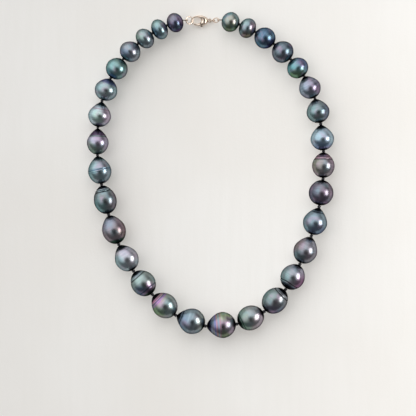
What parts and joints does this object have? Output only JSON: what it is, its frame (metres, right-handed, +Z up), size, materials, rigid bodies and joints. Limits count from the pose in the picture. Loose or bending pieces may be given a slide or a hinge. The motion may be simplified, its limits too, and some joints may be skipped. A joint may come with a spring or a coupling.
{
  "type": "pearl necklace",
  "caption": "Knotted strand of graduated dark baroque pearls on silk, with gimp loops, jump rings and a sprung lobster-claw clasp, laid flat in a long oval",
  "frame": {"origin": "under the middle of the whole strand, on the surface that it lies on", "axes": "+Y runs from the front pearls to the clasp, +X to the right with the clasp at the top as seen from above, +Z up"},
  "size_m": [0.1338, 0.176, 0.0143],
  "materials": {
    "nacre_aubergine": "dark purple-grey nacre with a mirror lustre",
    "nacre_slate": "dark grey nacre with a high lustre",
    "nacre_green": "green-grey nacre with a high lustre",
    "nacre_sage": "pale green-grey nacre with a satin lustre",
    "nacre_teal": "blue-green nacre with a high lustre",
    "nacre_steel": "blue-grey nacre with a high lustre",
    "nacre_pewter": "mid grey nacre with a satin lustre",
    "nacre_silver": "silver-grey nacre with a bright lustre",
    "nacre_mauve": "pinkish grey nacre with purple bands",
    "nacre_taupe": "warm grey nacre with a satin lustre",
    "silk": "black twisted silk, knotted",
    "gold": "polished pale gold"
  },
  "bodies": {
    "pearl_01": {"pearl_01": "nacre_aubergine", "gimp_left": "gold"},
    "pearl_02": {"pearl_02": "nacre_sage"},
    "pearl_03": {"pearl_03": "nacre_pewter"},
    "pearl_04": {"pearl_04": "nacre_slate"},
    "pearl_05": {"pearl_05": "nacre_green"},
    "pearl_06": {"pearl_06": "nacre_sage"},
    "pearl_07": {"pearl_07": "nacre_mauve"},
    "pearl_08": {"pearl_08": "nacre_mauve"},
    "pearl_09": {"pearl_09": "nacre_teal"},
    "pearl_10": {"pearl_10": "nacre_slate"},
    "pearl_11": {"pearl_11": "nacre_aubergine"},
    "pearl_12": {"pearl_12": "nacre_silver"},
    "pearl_13": {"pearl_13": "nacre_teal"},
    "pearl_14": {"pearl_14": "nacre_pewter"},
    "pearl_15": {"pearl_15": "nacre_steel"},
    "pearl_16": {"pearl_16": "nacre_mauve", "silk_thread": "silk"},
    "pearl_17": {"pearl_17": "nacre_green"},
    "pearl_18": {"pearl_18": "nacre_pewter"},
    "pearl_19": {"pearl_19": "nacre_mauve"},
    "pearl_20": {"pearl_20": "nacre_taupe"},
    "pearl_21": {"pearl_21": "nacre_steel"},
    "pearl_22": {"pearl_22": "nacre_aubergine"},
    "pearl_23": {"pearl_23": "nacre_taupe"},
    "pearl_24": {"pearl_24": "nacre_silver"},
    "pearl_25": {"pearl_25": "nacre_slate"},
    "pearl_26": {"pearl_26": "nacre_mauve"},
    "pearl_27": {"pearl_27": "nacre_green"},
    "pearl_28": {"pearl_28": "nacre_slate"},
    "pearl_29": {"pearl_29": "nacre_steel"},
    "pearl_30": {"pearl_30": "nacre_sage"},
    "pearl_31": {"pearl_31": "nacre_green", "gimp_right": "gold"},
    "ring_left": {"jump_ring_left": "gold"},
    "link": {"chain_link": "gold"},
    "ring_right": {"jump_ring_right": "gold"},
    "clasp": {"clasp_body": "gold", "clasp_pin": "gold", "clasp_spring": "gold"},
    "lever": {"clasp_lever": "gold"}
  },
  "joints": [
    {"name": "knot_15_16", "type": "hinge", "parent": "pearl_16", "child": "pearl_15", "pos_m": [-0.00288, -0.08148, 0.0073], "axis": [0, 0, 1], "range_deg": [0, 20], "deforming": ["silk_thread"]},
    {"name": "knot_14_15", "type": "hinge", "parent": "pearl_15", "child": "pearl_14", "pos_m": [-0.01886, -0.07567, 0.00705], "axis": [0, 0, 1], "range_deg": [0, 20], "deforming": ["silk_thread"]},
    {"name": "knot_13_14", "type": "hinge", "parent": "pearl_14", "child": "pearl_13", "pos_m": [-0.03139, -0.06459, 0.0068], "axis": [0, 0, 1], "range_deg": [0, 20], "deforming": ["silk_thread"]},
    {"name": "knot_12_13", "type": "hinge", "parent": "pearl_13", "child": "pearl_12", "pos_m": [-0.04163, -0.05186, 0.00673], "axis": [0, 0, 1], "range_deg": [0, 20], "deforming": ["silk_thread"]},
    {"name": "knot_11_12", "type": "hinge", "parent": "pearl_12", "child": "pearl_11", "pos_m": [-0.04961, -0.03747, 0.00665], "axis": [0, 0, 1], "range_deg": [0, 20], "deforming": ["silk_thread"]},
    {"name": "knot_10_11", "type": "hinge", "parent": "pearl_11", "child": "pearl_10", "pos_m": [-0.05509, -0.02138, 0.00648], "axis": [0, 0, 1], "range_deg": [0, 20], "deforming": ["silk_thread"]},
    {"name": "knot_09_10", "type": "hinge", "parent": "pearl_10", "child": "pearl_09", "pos_m": [-0.0589, -0.00522, 0.00648], "axis": [0, 0, 1], "range_deg": [0, 20], "deforming": ["silk_thread"]},
    {"name": "knot_08_09", "type": "hinge", "parent": "pearl_09", "child": "pearl_08", "pos_m": [-0.06107, 0.01065, 0.00638], "axis": [0, 0, 1], "range_deg": [0, 20], "deforming": ["silk_thread"]},
    {"name": "knot_07_08", "type": "hinge", "parent": "pearl_08", "child": "pearl_07", "pos_m": [-0.06094, 0.02558, 0.00633], "axis": [0, 0, 1], "range_deg": [0, 20], "deforming": ["silk_thread"]},
    {"name": "knot_06_07", "type": "hinge", "parent": "pearl_07", "child": "pearl_06", "pos_m": [-0.05868, 0.03997, 0.00645], "axis": [0, 0, 1], "range_deg": [0, 20], "deforming": ["silk_thread"]},
    {"name": "knot_05_06", "type": "hinge", "parent": "pearl_06", "child": "pearl_05", "pos_m": [-0.05402, 0.05224, 0.00628], "axis": [0, 0, 1], "range_deg": [0, 20], "deforming": ["silk_thread"]},
    {"name": "knot_04_05", "type": "hinge", "parent": "pearl_05", "child": "pearl_04", "pos_m": [-0.04728, 0.06254, 0.0061], "axis": [0, 0, 1], "range_deg": [0, 20], "deforming": ["silk_thread"]},
    {"name": "knot_03_04", "type": "hinge", "parent": "pearl_04", "child": "pearl_03", "pos_m": [-0.03935, 0.0709, 0.00593], "axis": [0, 0, 1], "range_deg": [0, 20], "deforming": ["silk_thread"]},
    {"name": "knot_02_03", "type": "hinge", "parent": "pearl_03", "child": "pearl_02", "pos_m": [-0.03154, 0.07661, 0.0058], "axis": [0, 0, 1], "range_deg": [0, 20], "deforming": ["silk_thread"]},
    {"name": "knot_01_02", "type": "hinge", "parent": "pearl_02", "child": "pearl_01", "pos_m": [-0.02361, 0.08079, 0.0056], "axis": [0, 0, 1], "range_deg": [0, 20], "deforming": ["silk_thread"]},
    {"name": "knot_16_17", "type": "hinge", "parent": "pearl_16", "child": "pearl_17", "pos_m": [0.01414, -0.0804, 0.00708], "axis": [0, 0, -1], "range_deg": [0, 20], "deforming": ["silk_thread"]},
    {"name": "knot_17_18", "type": "hinge", "parent": "pearl_17", "child": "pearl_18", "pos_m": [0.02888, -0.07369, 0.00678], "axis": [0, 0, -1], "range_deg": [0, 20], "deforming": ["silk_thread"]},
    {"name": "knot_18_19", "type": "hinge", "parent": "pearl_18", "child": "pearl_19", "pos_m": [0.04041, -0.0618, 0.00675], "axis": [0, 0, -1], "range_deg": [0, 20], "deforming": ["silk_thread"]},
    {"name": "knot_19_20", "type": "hinge", "parent": "pearl_19", "child": "pearl_20", "pos_m": [0.04815, -0.04809, 0.00673], "axis": [0, 0, -1], "range_deg": [0, 20], "deforming": ["silk_thread"]},
    {"name": "knot_20_21", "type": "hinge", "parent": "pearl_20", "child": "pearl_21", "pos_m": [0.05439, -0.03289, 0.00678], "axis": [0, 0, -1], "range_deg": [0, 20], "deforming": ["silk_thread"]},
    {"name": "knot_21_22", "type": "hinge", "parent": "pearl_21", "child": "pearl_22", "pos_m": [0.05854, -0.01707, 0.00685], "axis": [0, 0, -1], "range_deg": [0, 20], "deforming": ["silk_thread"]},
    {"name": "knot_22_23", "type": "hinge", "parent": "pearl_22", "child": "pearl_23", "pos_m": [0.06062, -0.00216, 0.00658], "axis": [0, 0, -1], "range_deg": [0, 20], "deforming": ["silk_thread"]},
    {"name": "knot_23_24", "type": "hinge", "parent": "pearl_23", "child": "pearl_24", "pos_m": [0.06091, 0.01271, 0.0065], "axis": [0, 0, -1], "range_deg": [0, 20], "deforming": ["silk_thread"]},
    {"name": "knot_24_25", "type": "hinge", "parent": "pearl_24", "child": "pearl_25", "pos_m": [0.05937, 0.02761, 0.00658], "axis": [0, 0, -1], "range_deg": [0, 20], "deforming": ["silk_thread"]},
    {"name": "knot_25_26", "type": "hinge", "parent": "pearl_25", "child": "pearl_26", "pos_m": [0.05625, 0.0413, 0.0063], "axis": [0, 0, -1], "range_deg": [0, 20], "deforming": ["silk_thread"]},
    {"name": "knot_26_27", "type": "hinge", "parent": "pearl_26", "child": "pearl_27", "pos_m": [0.05051, 0.0533, 0.0061], "axis": [0, 0, -1], "range_deg": [0, 20], "deforming": ["silk_thread"]},
    {"name": "knot_27_28", "type": "hinge", "parent": "pearl_27", "child": "pearl_28", "pos_m": [0.04327, 0.06239, 0.00615], "axis": [0, 0, -1], "range_deg": [0, 20], "deforming": ["silk_thread"]},
    {"name": "knot_28_29", "type": "hinge", "parent": "pearl_28", "child": "pearl_29", "pos_m": [0.03427, 0.07065, 0.00608], "axis": [0, 0, -1], "range_deg": [0, 20], "deforming": ["silk_thread"]},
    {"name": "knot_29_30", "type": "hinge", "parent": "pearl_29", "child": "pearl_30", "pos_m": [0.02418, 0.07736, 0.00575], "axis": [0, 0, -1], "range_deg": [0, 20], "deforming": ["silk_thread"]},
    {"name": "knot_30_31", "type": "hinge", "parent": "pearl_30", "child": "pearl_31", "pos_m": [0.01558, 0.0813, 0.00555], "axis": [0, 0, -1], "range_deg": [0, 20], "deforming": ["silk_thread"]},
    {"name": "left_ring_swing", "type": "hinge", "parent": "pearl_01", "child": "ring_left", "pos_m": [-0.01333, 0.08377, 0.00468], "axis": [0, 0, 1], "range_deg": [-20, 20]},
    {"name": "link_swing", "type": "hinge", "parent": "pearl_31", "child": "link", "pos_m": [0.00457, 0.08394, 0.0044], "axis": [0, 0, 1], "range_deg": [-15, 15]},
    {"name": "right_ring_swing", "type": "hinge", "parent": "link", "child": "ring_right", "pos_m": [0.0014, 0.08391, 0.00213], "axis": [0, 0, 1], "range_deg": [-20, 20]},
    {"name": "clasp_swing", "type": "hinge", "parent": "ring_right", "child": "clasp", "pos_m": [-0.0006, 0.08389, 0.0016], "axis": [0, 0, 1], "range_deg": [-20, 20]},
    {"name": "lever_press", "type": "hinge", "parent": "clasp", "child": "lever", "pos_m": [-0.00409, 0.08251, 0.0016], "axis": [0, 0, -1], "range_deg": [0, 22], "stiffness_Nm_per_rad": 0.005, "springref_deg": -11.46, "deforming": ["clasp_spring"]}
  ]
}
